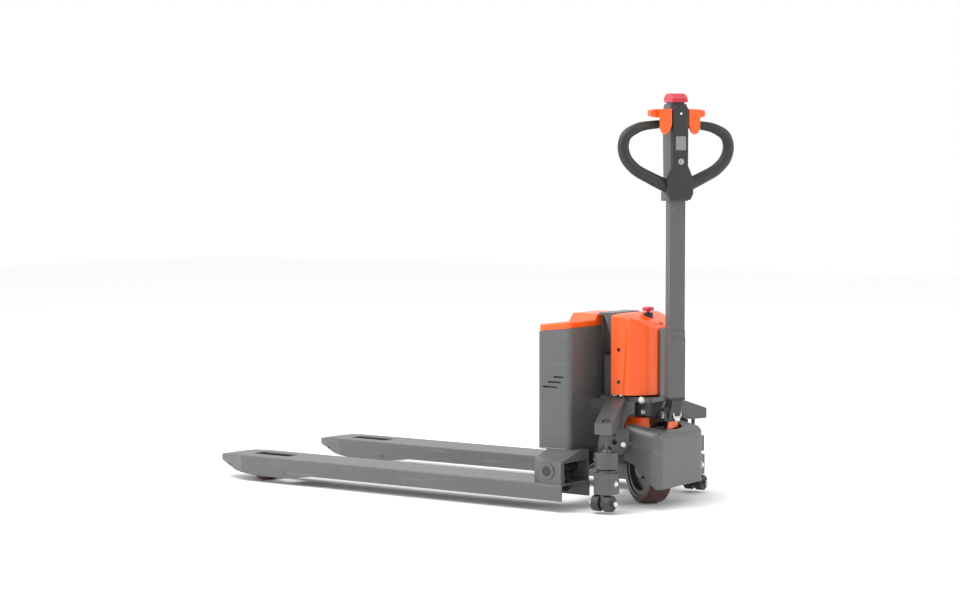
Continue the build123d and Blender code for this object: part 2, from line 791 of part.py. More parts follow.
# ---------------------------------------------------------------- fender
fender_round = 24.0
fender_corner = 30.0
rim_slope = (fender_rear_top - fender_top) / (fender_front - fender_rear)
with BuildPart() as fender_cavity:
    with BuildSketch(Plane.XY.offset(fender_bottom - 1)):
        with BuildLine():
            Polyline(
                (fender_rear - 60, -fender_half_rear + fender_wall),
                (fender_rear, -fender_half_rear + fender_wall),
                (fender_front - fender_wall, -fender_half_front + fender_wall),
                (fender_front - fender_wall, fender_half_front - fender_wall),
                (fender_rear, fender_half_rear - fender_wall),
                (fender_rear - 60, fender_half_rear - fender_wall), close=True)
        make_face()
        fillet(vertices().group_by(Axis.X)[-1], fender_corner - fender_wall)
    extrude(amount=300)
    with BuildSketch(across(0)):
        with BuildLine():
            Polyline(
                (fender_rear - 80, fender_rear_top - fender_wall + 80 * rim_slope),
                (fender_front + 20, fender_top - fender_wall - 20 * rim_slope),
                (fender_front + 20, 400), (fender_rear - 80, 400), close=True)
        make_face()
    extrude(amount=fender_half_rear + 20, both=True, mode=Mode.SUBTRACT)
    fillet(faces().sort_by(Axis.Z)[-1].edges(), fender_round - fender_wall)

with BuildPart() as fender:
    with BuildSketch(Plane.XY.offset(fender_bottom)):
        with BuildLine():
            Polyline(
                (fender_rear, -fender_half_rear), (fender_front, -fender_half_front),
                (fender_front, fender_half_front), (fender_rear, fender_half_rear), close=True)
        make_face()
        fillet(vertices().group_by(Axis.X)[-1], fender_corner)
    extrude(amount=300)
    with BuildSketch(across(0)):
        with BuildLine():
            Polyline(
                (fender_rear - 20, fender_rear_top + 20 * rim_slope),
                (fender_front + 20, fender_top - 20 * rim_slope),
                (fender_front + 20, 400), (fender_rear - 20, 400), close=True)
        make_face()
    extrude(amount=fender_half_rear + 20, both=True, mode=Mode.SUBTRACT)
    rim = faces().sort_by(Axis.Z)[-1].edges().filter_by(lambda e: e.center().X > fender_rear + 8)
    fillet(rim, fender_round)
    add(fender_cavity.part, mode=Mode.SUBTRACT)
    with BuildSketch(Plane.XY.offset(fender_top - 40)):
        Circle(fender_opening)
    extrude(amount=100, mode=Mode.SUBTRACT)
    with BuildSketch(across(0)):
        with BuildLine():
            Polyline(
                (fender_rear - 40, fender_bottom - 1), (fender_rear - 40, 150), (8, 144), (33, 135),
                (60, 110), (84, 82), (100, 69), (108, fender_bottom - 1), close=True)
        make_face()
        fillet(vertices().filter_by(lambda v: 30 < v.X < 102), 8)
    extrude(amount=fender_half_rear + 20, both=True, mode=Mode.SUBTRACT)
    with BuildSketch(across(0)):
        with Locations((fender_bolt_x, fender_bolt_z)):
            Circle(5 + running)
    extrude(amount=fender_half_rear + 10, both=True, mode=Mode.SUBTRACT)
save(fender, "fender")

# Bolts: the arms to the head plate from above, and the fender to the lugs through spacers
with BuildPart() as arm_bolts:
    for sign in sides.values():
        for back in (182.0, 206.0):
            with BuildSketch(Plane.XY.offset(head_top)):
                with Locations((behind(back), sign * (head_half - 10))):
                    RegularPolygon(8, 6)
            extrude(amount=5.5)
        lug_outer = lug_inner + plate
        with BuildSketch(across(sign * lug_outer)):
            with Locations((fender_bolt_x, fender_bolt_z)):
                RegularPolygon(9, 6)
        extrude(amount=-sign * 7)
        with BuildSketch(across(sign * lug_outer)):
            with Locations((fender_bolt_x, fender_bolt_z)):
                Circle(5)
        extrude(amount=sign * (lug_outer - fender_half_rear + 20))
save(arm_bolts, "arm_bolts")

# ---------------------------------------------------------------- hydraulic unit, controller, cover
valve_block_height = 26.0
with BuildPart() as pump_unit:
    with BuildSketch(Plane.XY.offset(head_top)):
        with Locations((behind(222), -46)):
            RectangleRounded(66, 62, 4)
    extrude(amount=valve_block_height)
    with BuildSketch(Plane.XY.offset(head_top + valve_block_height)):
        with Locations((behind(222), -46)):
            Circle(30)
    extrude(amount=130)
    fillet(edges().group_by(Axis.Z)[-1], 5)
save(pump_unit, "pump_unit")

with BuildPart() as oil_tank:
    with BuildSketch(Plane.XY.offset(head_top)):
        with Locations((behind(225), 42)):
            RectangleRounded(74, 72, 8)
    extrude(amount=120)
    fillet(edges().group_by(Axis.Z)[-1], 6)
save(oil_tank, "oil_tank")

with BuildPart() as motor_controller:
    with BuildSketch(Plane.XY.offset(head_top + 126)):
        with Locations((behind(222), 42)):
            Rectangle(66, 70)
    extrude(amount=34)
save(motor_controller, "motor_controller")

with BuildPart() as cover_frame:
    with BuildSketch(Plane.XY.offset(head_top)):
        with Locations((behind(cover_nose_x + 5), 0)):
            Rectangle(6, 2 * cover_nose_y + 8)
    extrude(amount=cover_low_top - head_top - 10)
    fillet(edges().filter_by(Axis.X).group_by(Axis.Z)[-1], 12)
save(cover_frame, "cover_frame")


def cover_outline(inset):
    """Plan of the power cover as points, drawn in by this much; open towards the battery box."""
    side_y = cover_side - inset
    return [
        (behind(cover_front), -side_y), (behind(cover_knee - inset * 0.3), -side_y),
        (behind(cover_shoulder_x - inset * 0.8), -cover_shoulder_y + inset * 0.8),
        (behind(cover_nose_x - inset), -cover_nose_y + inset * 0.4),
        (behind(cover_nose_x - inset), cover_nose_y - inset * 0.4),
        (behind(cover_shoulder_x - inset * 0.8), cover_shoulder_y - inset * 0.8),
        (behind(cover_knee - inset * 0.3), side_y), (behind(cover_front), side_y)]


stop_x = behind(245)
stop_seat = cover_top - (cover_top - cover_low_top) * (245 - cover_flat_end) / (cover_nose_x - cover_flat_end)
with BuildPart() as power_cover:
    with BuildSketch(Plane.XY.offset(cover_bottom)):
        with BuildLine():
            Polyline(*cover_outline(0), close=True)
        make_face()
    extrude(amount=cover_top - cover_bottom + 1)
    with BuildSketch(across(0)):
        with BuildLine():
            Polyline(
                (behind(cover_front - 1), cover_bottom - 1), (behind(cover_front - 1), cover_top - 4),
                (behind(cover_front + 12), cover_top), (behind(cover_flat_end), cover_top),
                (behind(cover_nose_x + 1), cover_low_top), (behind(cover_nose_x + 1), cover_bottom - 1),
                close=True)
        make_face()
    extrude(amount=cover_side + 5, both=True, mode=Mode.INTERSECT)
    fillet(edges().filter_by(Axis.Z).filter_by(lambda e: e.center().X > behind(cover_front + 5)), 7)
    with BuildSketch(Plane.XY.offset(cover_bottom - 1)):
        with BuildLine():
            Polyline(*cover_outline(cover_wall), close=True)
        make_face()
        with Locations((behind(cover_front), 0)):
            Rectangle(20, 2 * (cover_side - cover_wall))
    extrude(amount=cover_low_top - cover_bottom - 5, mode=Mode.SUBTRACT)
    with BuildSketch(Plane.XY.offset(cover_low_top - 10)):
        with Locations((behind((cover_front + cover_flat_end) / 2 - 10), 0)):
            Rectangle(cover_flat_end - cover_front + 20, 2 * (cover_side - cover_wall))
    extrude(amount=cover_top - cover_low_top + 10 - 6, mode=Mode.SUBTRACT)
    with BuildSketch(Plane.XY.offset(stop_seat - 40)):
        with Locations((stop_x, 0)):
            Circle(15 + gap)
    extrude(amount=80, mode=Mode.SUBTRACT)
    with BuildSketch(across(0)):
        with Locations((behind(207), 474), (behind(207), 376)):
            Circle(3 + running)
    extrude(amount=cover_side + 1, both=True, mode=Mode.SUBTRACT)
save(power_cover, "power_cover")

with BuildPart() as cover_screws:
    for sign in sides.values():
        for height in (474.0, 376.0):
            with BuildSketch(across(sign * cover_side)):
                with Locations((behind(207), height)):
                    Circle(5.5)
            extrude(amount=-sign * 3)
            with BuildSketch(across(sign * cover_side)):
                with Locations((behind(207), height)):
                    Circle(3)
            extrude(amount=sign * 9)
        for height in (360.0, 385.0, 440.0, 505.0):
            with BuildSketch(square_to(behind(cover_nose_x))):
                with Locations((sign * (cover_nose_y - 5), height)):
                    Circle(3.5)
            extrude(amount=1.8)
save(cover_screws, "cover_screws")

with BuildPart() as stop_switch_base:
    with BuildSketch(Plane.XY.offset(stop_seat - 28)):
        with Locations((stop_x, 0)):
            Circle(15)
    extrude(amount=38)
    with BuildSketch(Plane.XY.offset(stop_seat - 20)):
        with Locations((stop_x, 0)):
            Circle(6 + running)
    extrude(amount=40, mode=Mode.SUBTRACT)
save(stop_switch_base, "stop_switch_base")

stop_travel = 5.0
with BuildPart() as stop_knob:
    with BuildSketch(Plane.XY.offset(stop_seat - 14)):
        with Locations((stop_x, 0)):
            Circle(6)
    extrude(amount=14 + 10 + stop_travel + 1)
    with BuildSketch(Plane.XY.offset(stop_seat + 10 + stop_travel + 1)):
        with Locations((stop_x, 0)):
            Circle(18)
    extrude(amount=12)
    fillet(edges().group_by(Axis.Z)[-1], 6)
save(stop_knob, "stop_knob")

# ---------------------------------------------------------------- steered drive unit
motor_side = 64.5
motor_radius = 26.0
motor_foot = 122.0
with BuildPart() as turntable:
    with BuildSketch(steered_plan(turntable_bottom)):
        Circle(75)
        with Locations((0, motor_side)):
            Circle(motor_radius + gap, mode=Mode.SUBTRACT)
    extrude(amount=turntable_top - turntable_bottom)
    with BuildSketch(steered_plan(turntable_top)):
        Circle(spindle_radius + 8)
    extrude(amount=housing_bottom - 2 - turntable_top)
    with BuildSketch(steered_plan(turntable_top)):
        Circle(spindle_radius)
    extrude(amount=head_top - 10 - turntable_top)
save(turntable, "turntable")

gearbox_inner = drive_width / 2 + air
gearbox_outer = gearbox_inner + 24.0
with BuildPart() as gearbox:
    with BuildSketch(steered_across((gearbox_inner + gearbox_outer) / 2)):
        with Locations((0, drive_radius)):
            Circle(54)
        for way in sides.values():
            with Locations((way * 44, (drive_radius + turntable_bottom) / 2)):
                Rectangle(24, turntable_bottom - drive_radius)
    extrude(amount=(gearbox_outer - gearbox_inner) / 2, both=True)
    with BuildSketch(steered_plan(motor_foot)):
        with Locations((0, motor_side)):
            Circle(motor_radius + 1.5)
    extrude(amount=110, mode=Mode.SUBTRACT)
    with BuildSketch(steered_across(gearbox_outer)):
        with Locations((0, drive_radius)):
            Circle(14 + running)
    extrude(amount=20, mode=Mode.SUBTRACT)
    with BuildSketch(steered_across(gearbox_inner)):
        with Locations((0, drive_radius)):
            Circle(14 + running)
    extrude(amount=-20, mode=Mode.SUBTRACT)
save(gearbox, "gearbox")

with BuildPart() as drive_motor:
    with BuildSketch(steered_plan(motor_foot)):
        with Locations((0, motor_side)):
            Circle(motor_radius)
    extrude(amount=130)
save(drive_motor, "drive_motor")

with BuildPart() as drive_hub:
    with BuildSketch(steered_across(0)):
        with Locations((0, drive_radius)):
            Circle(hub_radius)
    extrude(amount=drive_width / 2 - 3, both=True)
    with BuildSketch(steered_across(-drive_width / 2 + 3)):
        with Locations((0, drive_radius)):
            Circle(hub_radius - 14)
            Circle(30, mode=Mode.SUBTRACT)
    extrude(amount=-14, mode=Mode.SUBTRACT)
    with BuildSketch(steered_across(drive_width / 2 - 3)):
        with Locations((0, drive_radius)):
            Circle(14)
    extrude(amount=-(gearbox_outer - drive_width / 2 + 3 - 4))
save(drive_hub, "drive_hub")

with BuildPart() as drive_tyre:
    with BuildSketch(steered_across(0)):
        with Locations((0, drive_radius)):
            Circle(drive_radius)
            Circle(hub_radius, mode=Mode.SUBTRACT)
    extrude(amount=drive_width / 2, both=True)
    rims = edges().filter_by(GeomType.CIRCLE).filter_by(lambda e: e.radius > drive_radius - 1)
    fillet(rims, 7)
save(drive_tyre, "drive_tyre")

cover_base = turntable_top
cover_crest = 266.0


# Plan of the cover: a large round over the turntable joined to a small one over the motor
cover_levels = ((cover_base, 76.0, 34.0), (cover_crest, 63.0, 29.5))
cover_skin = 2.5
with BuildPart() as motor_cover:
    for height, big, small in cover_levels:
        with BuildSketch(steered_plan(height)):
            Circle(big)
            with Locations((0, motor_side - 1)):
                Circle(small)
            make_hull()
    loft()
    for height, big, small in cover_levels:
        with BuildSketch(steered_plan(height - cover_skin)):
            Circle(big - cover_skin)
            with Locations((0, motor_side - 1)):
                Circle(small - cover_skin)
            make_hull()
    loft(mode=Mode.SUBTRACT)
    with BuildSketch(steered_plan(cover_base)):
        Circle(spindle_radius + 9)
        with Locations((55, 0)):
            Rectangle(60, 2 * (foot_half + gap + ear_plate + 1.5))
    extrude(amount=60, mode=Mode.SUBTRACT)
save(motor_cover, "motor_cover")

ear_inner = foot_half + gap
ear_outer = ear_inner + ear_plate
ear_under = fender_rear_top + 3   # the ears pass over the fender's rim
with BuildPart() as tiller_bracket:
    for way in sides.values():
        with BuildSketch(steered_across(way * (ear_inner + ear_plate / 2))):
            with BuildLine():
                Polyline(
                    (38, turntable_top), (76, turntable_top), (86, ear_under),
                    (164, pivot_height - 17), (168, pivot_height + 12), (150, pivot_height + 23),
                    (132, pivot_height + 15), (84, ear_under + 12), (38, turntable_top + 20), close=True)
            make_face()
            with Locations((pivot_out, pivot_height)):
                Circle(pivot_pin_radius + running, mode=Mode.SUBTRACT)
        extrude(amount=ear_plate / 2, both=True)
    with BuildSketch(steered_across(0)):
        with Locations((59, turntable_top + 5)):
            Rectangle(34, 10)
    extrude(amount=ear_inner + 1, both=True)
save(tiller_bracket, "tiller_bracket")

with BuildPart() as hinge_pin:
    with BuildSketch(steered_across(0)):
        with Locations((pivot_out, pivot_height)):
            Circle(pivot_pin_radius)
    extrude(amount=ear_outer + 1, both=True)
    for way in sides.values():
        with BuildSketch(steered_across(way * ear_outer)):
            with Locations((pivot_out, pivot_height)):
                RegularPolygon(12, 6)
        extrude(amount=-way * 6)
save(hinge_pin, "hinge_pin")

# ---------------------------------------------------------------- tiller
with BuildPart() as tiller_foot:
    with BuildSketch(steered_across(0)):
        with BuildLine():
            Polyline(
                (pivot_out - 14, pivot_height - 13), (pivot_out + 8, pivot_height - 20),
                (pivot_out + 22, pivot_height - 10), (post_out + sheath_depth / 2 - 3, sheath_bottom - 26),
                (post_out + sheath_depth / 2, sheath_bottom), (post_out - sheath_depth / 2, sheath_bottom),
                (pivot_out - 16, pivot_height + 12), close=True)
        make_face()
        with Locations((pivot_out, pivot_height)):
            Circle(pivot_pin_radius + running, mode=Mode.SUBTRACT)
    extrude(amount=foot_half, both=True)
    with BuildSketch(steered_plan(sheath_bottom - 7)):
        with Locations((post_out, 0)):
            Rectangle(sheath_depth, sheath_width)
    extrude(amount=7)
save(tiller_foot, "tiller_foot")

with BuildPart() as tiller_sheath:
    with BuildSketch(steered_plan(sheath_bottom)):
        with Locations((post_out, 0)):
            RectangleRounded(sheath_depth, sheath_width, 4)
            Rectangle(post_depth, post_width, mode=Mode.SUBTRACT)
    extrude(amount=sheath_top - sheath_bottom)
    with BuildSketch(steered_plan(sheath_top)):
        with Locations((post_out, 0)):
            RectangleRounded(sheath_depth - 2, sheath_width - 2, 3)
            Rectangle(post_depth, post_width, mode=Mode.SUBTRACT)
    extrude(amount=22)
save(tiller_sheath, "tiller_sheath")

with BuildPart() as tiller_post:
    with BuildSketch(steered_plan(sheath_bottom)):
        with Locations((post_out, 0)):
            Rectangle(post_depth, post_width)
            Rectangle(post_depth - 6, post_width - 6, mode=Mode.SUBTRACT)
    extrude(amount=post_top - sheath_bottom)
save(tiller_post, "tiller_post")

shell_in = 138.0
shell_out = 197.0
face_out = 211.0
wing_out = 178.0
loop_out = 179.0
wing_height = 1182.0
key_height = 1040.0
with BuildPart() as head_shell:
    with BuildSketch(steered_across(0)):
        with BuildLine():
            Polyline(
                (shell_in + 8, post_top), (shell_out, post_top), (shell_out, head_high - 20),
                (shell_out - 6, head_high - 4), (shell_in + 14, head_high - 4), (shell_in, head_high - 34),
                close=True)
        make_face()
    extrude(amount=head_width / 2, both=True)
    fillet(edges().filter_by(lambda e: e.length > 200), 5)
    with BuildSketch(steered_plan(socket_bottom)):
        with Locations(((shell_in + 4 + shell_out) / 2, 0)):
            RectangleRounded(shell_out - shell_in - 4, 2 * socket_half, 5)
        with Locations((post_out, 0)):
            Rectangle(post_depth + 2 * gap, post_width + 2 * gap, mode=Mode.SUBTRACT)
    extrude(amount=post_top - socket_bottom)
    with BuildSketch(steered_plan(post_top)):
        with Locations(((shell_in + 4 + shell_out) / 2, 0)):
            RectangleRounded(shell_out - shell_in - 4, 2 * socket_half, 5)
    extrude(amount=6)
    with BuildSketch(steered_plan(head_high - 6)):
        with Locations(((shell_in + shell_out) / 2 + 4, 0)):
            Rectangle(shell_out - shell_in - 22, head_width - 12)
    extrude(amount=6 + belly_travel)
    with BuildSketch(steered_across(0)):
        with Locations((wing_out, wing_height)):
            Circle(6 + running)
    extrude(amount=head_width, both=True, mode=Mode.SUBTRACT)
    with BuildSketch(steered_plan(head_high - 34)):
        with Locations((post_out - 4, 0)):
            Rectangle(30, 34)
    extrude(amount=40, mode=Mode.SUBTRACT)
    with BuildSketch(steered_face(shell_in - 20)):
        with Locations((0, 1150), (-13, 1118), (13, 1118)):
            Circle(7 + gap)
    extrude(amount=32, mode=Mode.SUBTRACT)
save(head_shell, "head_shell")

with BuildPart() as head_face:
    with BuildSketch(steered_face(shell_out)):
        with BuildLine():
            Polyline(
                (-33, head_low + 5), (-42, head_low + 22), (-43, 988), (-25, 1028), (-25, head_high - 20),
                (-19, head_high - 8), (19, head_high - 8), (25, head_high - 20), (25, 1028), (43, 988),
                (42, head_low + 22), (33, head_low + 5), close=True)
        make_face()
    extrude(amount=face_out - shell_out)
    fillet(edges().filter_by(lambda e: abs(Vector(e.center()).dot(steer_out) - face_out) < 0.01), 4)
    with BuildSketch(steered_face(face_out - 1.5)):
        with Locations((0, 1094)):
            RectangleRounded(34, 42, 3)
    extrude(amount=5, mode=Mode.SUBTRACT)
    with BuildSketch(steered_face(face_out - 11)):
        with Locations((0, key_height)):
            Circle(9 + running)
    extrude(amount=20, mode=Mode.SUBTRACT)
save(head_face, "head_face")

with BuildPart() as display_window:
    with BuildSketch(steered_face(face_out - 1.5)):
        with Locations((0, 1094)):
            RectangleRounded(33.4, 41.4, 2.7)
    extrude(amount=1)
save(display_window, "display_window")

with BuildPart() as key_barrel:
    with BuildSketch(steered_face(face_out - 10)):
        with Locations((0, key_height)):
            Circle(9)
    extrude(amount=11)
    with BuildSketch(steered_face(face_out + 1)):
        with Locations((0, key_height)):
            Rectangle(2.4, 12)
    extrude(amount=4)
save(key_barrel, "key_barrel")

relief_half = 76.0
with BuildPart() as grip_loops:
    for way in sides.values():
        with BuildLine(steered_face(loop_out)) as route:
            Spline(
                (way * 15, 1152), (way * 68, 1149), (way * 130, 1137), (way * 164, 1115),
                (way * loop_reach, 1086), (way * 165, 1052), (way * 138, 1021), (way * 85, 992),
                (way * 15, 961))
        with BuildSketch(Plane(route.line @ 0, z_dir=route.line % 0)):
            Circle(loop_radius)
        sweep(path=route.line)
    with BuildSketch(steered_face(loop_out)):
        with Locations((0, 1060)):
            Rectangle(head_width, 300)
        with Locations((0, post_top - 10)):
            Rectangle(2 * socket_half + gap, 34)
    extrude(amount=40, both=True, mode=Mode.SUBTRACT)
    with BuildSketch(steered_face(shell_out)):
        with Locations((0, 970)):
            Rectangle(90, 140)
    extrude(amount=20, mode=Mode.SUBTRACT)
    with BuildSketch(steered_face(loop_out + 6)):
        with Locations((0, 1150)):
            Rectangle(2 * relief_half, 60)
    extrude(amount=40, mode=Mode.SUBTRACT)
save(grip_loops, "grip_loops")

# Thumb wings: an axle through the head, and on each side a tab that hooks down over the loop
paddle_inner = head_width / 2 + gap
hook_bottom = 1170.0
with BuildPart() as thumb_wings:
    with BuildSketch(steered_across(0)):
        with Locations((wing_out, wing_height)):
            Circle(6)
    extrude(amount=paddle_inner + 4, both=True)
    for way in sides.values():
        with BuildSketch(steered_face(wing_out - 10)):
            with BuildLine():
                Polyline(
                    (way * paddle_inner, hook_bottom), (way * paddle_inner, 1195), (way * 74, 1194),
                    (way * 89, 1191), (way * 89, 1174), (way * 72, hook_bottom), close=True)
            make_face()
        extrude(amount=22)
        with BuildSketch(steered_face(wing_out + 2)):
            with BuildLine():
                Polyline(
                    (way * paddle_inner, hook_bottom), (way * paddle_inner, 1195), (way * 66, 1194),
                    (way * 66, hook_bottom), close=True)
            make_face()
        extrude(amount=28)
        with BuildSketch(steered_face(wing_out + 21)):
            with BuildLine():
                Polyline(
                    (way * paddle_inner, 1148), (way * paddle_inner, 1195), (way * 66, 1194),
                    (way * 65, 1137), (way * 57, 1123), (way * 46, 1120), (way * 36, 1128), close=True)
            make_face()
        extrude(amount=9)
    fillet(edges().filter_by(lambda e: abs(Vector(e.center()).dot(steer_out) - wing_out - 30) < 0.01), 3)
save(thumb_wings, "thumb_wings")

with BuildPart() as belly_button:
    with BuildSketch(steered_across(0)):
        with BuildLine():
            Polyline(
                (shell_in + 10, head_high - 3.5 + belly_travel),
                (shell_out + 6, head_high - 3.5 + belly_travel),
                (shell_out + 6, head_high + 12), (shell_out - 12, head_high + 27),
                (shell_in + 22, head_high + 27), (shell_in + 8, head_high + 14), close=True)
        make_face()
    extrude(amount=head_width / 2 - 1, both=True)
    fillet(edges().group_by(Axis.Z)[-1], 4)
    with BuildSketch(steered_plan(head_high - 6)):
        with Locations(((shell_in + shell_out) / 2 + 4, 0)):
            Rectangle(shell_out - shell_in - 21, head_width - 11)
    extrude(amount=6 + 2 * belly_travel + 1, mode=Mode.SUBTRACT)
    with BuildSketch(steered_plan(head_high - 16)):
        with Locations((post_out - 4, 0)):
            Rectangle(28, 32)
    extrude(amount=16 + 2 * belly_travel + 2)
save(belly_button, "belly_button")


def make_button(name, across_head, height):
    """A round push button in the inner face of the head, reached by the fingers."""
    with BuildPart() as button:
        with BuildSketch(steered_face(shell_in - 4)):
            with Locations((across_head, height)):
                Circle(7)
        extrude(amount=11)
        fillet(edges().filter_by(lambda e: abs(Vector(e.center()).dot(steer_out) - shell_in + 4) < 0.01), 2)
    save(button, name)


make_button("horn_button", 0, 1150)
make_button("lift_button", -13, 1118)
make_button("lower_button", 13, 1118)
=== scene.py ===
import json
import math

import bmesh
import bpy
import numpy as np
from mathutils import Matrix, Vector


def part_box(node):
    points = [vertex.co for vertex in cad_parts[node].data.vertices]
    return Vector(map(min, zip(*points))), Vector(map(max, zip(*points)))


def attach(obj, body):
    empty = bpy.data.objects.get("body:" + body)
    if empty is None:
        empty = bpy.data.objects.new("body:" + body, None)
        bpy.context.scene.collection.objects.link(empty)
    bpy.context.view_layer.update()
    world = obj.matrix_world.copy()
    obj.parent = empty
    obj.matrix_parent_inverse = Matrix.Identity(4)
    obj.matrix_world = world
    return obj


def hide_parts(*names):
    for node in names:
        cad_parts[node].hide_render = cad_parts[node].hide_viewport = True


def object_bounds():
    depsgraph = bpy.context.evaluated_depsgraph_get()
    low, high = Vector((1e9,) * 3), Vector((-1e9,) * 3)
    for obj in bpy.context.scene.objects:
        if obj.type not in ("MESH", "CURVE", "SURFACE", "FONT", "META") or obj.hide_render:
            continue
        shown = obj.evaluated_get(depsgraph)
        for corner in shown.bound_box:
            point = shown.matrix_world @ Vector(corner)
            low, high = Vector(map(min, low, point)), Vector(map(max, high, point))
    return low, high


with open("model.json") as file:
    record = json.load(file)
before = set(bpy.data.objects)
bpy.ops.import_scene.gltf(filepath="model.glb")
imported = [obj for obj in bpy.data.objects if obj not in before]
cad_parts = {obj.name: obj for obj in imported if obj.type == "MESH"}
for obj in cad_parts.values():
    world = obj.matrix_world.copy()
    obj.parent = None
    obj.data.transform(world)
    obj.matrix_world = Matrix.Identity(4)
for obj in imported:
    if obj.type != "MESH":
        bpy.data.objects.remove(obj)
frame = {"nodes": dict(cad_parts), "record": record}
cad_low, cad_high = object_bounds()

record = frame["record"]
nodes = frame["nodes"]
bodies = record["behaviour"]["bodies"]


# ---------------------------------------------------------------- studio
# A plain pale floor, a camera off the operator's left, a large softbox overhead, one at the
# left and a weak one at the right, with pale surroundings all round.
class Wire:
    """A shader output with arithmetic: a + b, a * b and so on each add one Math node."""

    def __init__(self, finish, socket):
        self.finish = finish
        self.socket = socket

    def math(self, operation, *others):
        """One Math node on this value and the others."""
        values = dict(enumerate((self,) + others))
        return self.finish.node("ShaderNodeMath", {"operation": operation}, values)["Value"]

    def __add__(self, other):
        return self.math("ADD", other)

    __radd__ = __add__

    def __sub__(self, other):
        return self.math("SUBTRACT", other)

    def __rsub__(self, other):
        return self.math("MULTIPLY", -1.0).math("ADD", other)

    def __mul__(self, other):
        return self.math("MULTIPLY", other)

    __rmul__ = __mul__

    def ramp(self, low, high):
        """0 below low, 1 above high, straight between."""
        values = {"Value": self, "From Min": low, "From Max": high}
        return self.finish.node("ShaderNodeMapRange", {"clamp": True}, values)["Result"]


class Finish:
    """A material being built round one Principled shader."""

    def __init__(self, name, **sockets):
        self.material = bpy.data.materials.new(name)
        self.material.use_nodes = True
        self.tree = self.material.node_tree
        self.shader = self.tree.nodes["Principled BSDF"]
        self.place = self.node("ShaderNodeTexCoord")["Object"]
        self.set(self.shader, sockets)

    def set(self, node, values):
        """Set or link a node's sockets by name or number."""
        for key, value in values.items():
            socket = node.inputs[key]
            if isinstance(value, Wire):
                self.tree.links.new(value.socket, socket)
            else:
                socket.default_value = value

    def node(self, kind, settings=None, values=None):
        """Add a node with settings and socket values or links; returns its outputs by name."""
        made = self.tree.nodes.new(kind)
        for key, value in (settings or {}).items():
            setattr(made, key, value)
        self.set(made, values or {})
        return {out.name: Wire(self, out) for out in made.outputs}

    def noise(self, scale, detail=3.0, stretch=(1.0, 1.0, 1.0)):
        """Noise from 0 to 1 with about this many features to the metre, stretched along the axes."""
        place = self.node("ShaderNodeMapping", None, {"Vector": self.place, "Scale": stretch})["Vector"]
        values = {"Vector": place, "Scale": scale, "Detail": detail}
        return self.node("ShaderNodeTexNoise", None, values)["Fac"]

    def cells(self, scale):
        """Distance to the nearest of scattered points, about this many to the metre."""
        values = {"Vector": self.place, "Scale": scale}
        return self.node("ShaderNodeTexVoronoi", None, values)["Distance"]

    def mix(self, amount, low, high):
        """A colour between two, by an amount from 0 to 1. Either may be the result of another mix."""
        made = self.tree.nodes.new("ShaderNodeMix")
        made.data_type = "RGBA"
        self.tree.links.new(amount.socket, made.inputs[0])
        for socket, colour in ((made.inputs[6], low), (made.inputs[7], high)):
            if isinstance(colour, Wire):
                self.tree.links.new(colour.socket, socket)
            else:
                socket.default_value = (*colour, 1)
        return Wire(self, made.outputs[2])

    def raise_by(self, height, depth):
        """A bump of this height signal, in metres."""
        values = {"Height": height, "Distance": depth, "Strength": 1.0}
        return self.node("ShaderNodeBump", None, values)["Normal"]


floor_size = 14.0
floor_mesh = bpy.data.meshes.new("floor")
floor_mesh.from_pydata(
    [(-floor_size, -floor_size, 0), (floor_size, -floor_size, 0),
     (floor_size, floor_size, 0), (-floor_size, floor_size, 0)], [], [(0, 1, 2, 3)])
floor = bpy.data.objects.new("floor", floor_mesh)
bpy.context.collection.objects.link(floor)
pale = Finish("pale_floor", **{"Base Color": (0.96, 0.96, 0.96, 1), "Roughness": 0.8})
floor_mesh.materials.append(pale.material)

camera_data = bpy.data.cameras.new("camera")
camera_data.sensor_width = 36.0
camera_data.lens = 83.58
camera = bpy.data.objects.new("camera", camera_data)
camera.location = (3.4165, -5.8719, 1.0168)
camera.rotation_euler = (math.radians(90 - 3.35), 0, math.radians(34.54))
bpy.context.collection.objects.link(camera)
bpy.context.scene.camera = camera


def softbox(name, place, target, size, power):
    """A square area light at place, turned so that its face looks at target."""
    data = bpy.data.lights.new(name, "AREA")
    data.size = size
    data.energy = power
    light = bpy.data.objects.new(name, data)
    light.location = place
    aim = np.subtract(target, place)
    light.rotation_euler = (math.atan2(math.hypot(aim[0], aim[1]), -aim[2]), 0, math.atan2(-aim[0], aim[1]))
    bpy.context.collection.objects.link(light)


middle = (np.array(cad_low) + np.array(cad_high)) / 2
softbox("overhead", (-1.4, -1.8, 4.4), middle, 3.4, 190)
softbox("left", (-4.2, -3.6, 2.6), middle, 2.6, 70)
softbox("right", (4.6, 1.6, 2.4), middle, 1.6, 60)
bpy.context.scene.view_settings.view_transform = "Standard"
world = bpy.data.worlds.new("surroundings")
bpy.context.scene.world = world
world.use_nodes = True
world.node_tree.nodes["Background"].inputs["Color"].default_value = (1, 1, 1, 1)
world.node_tree.nodes["Background"].inputs["Strength"].default_value = 1.0


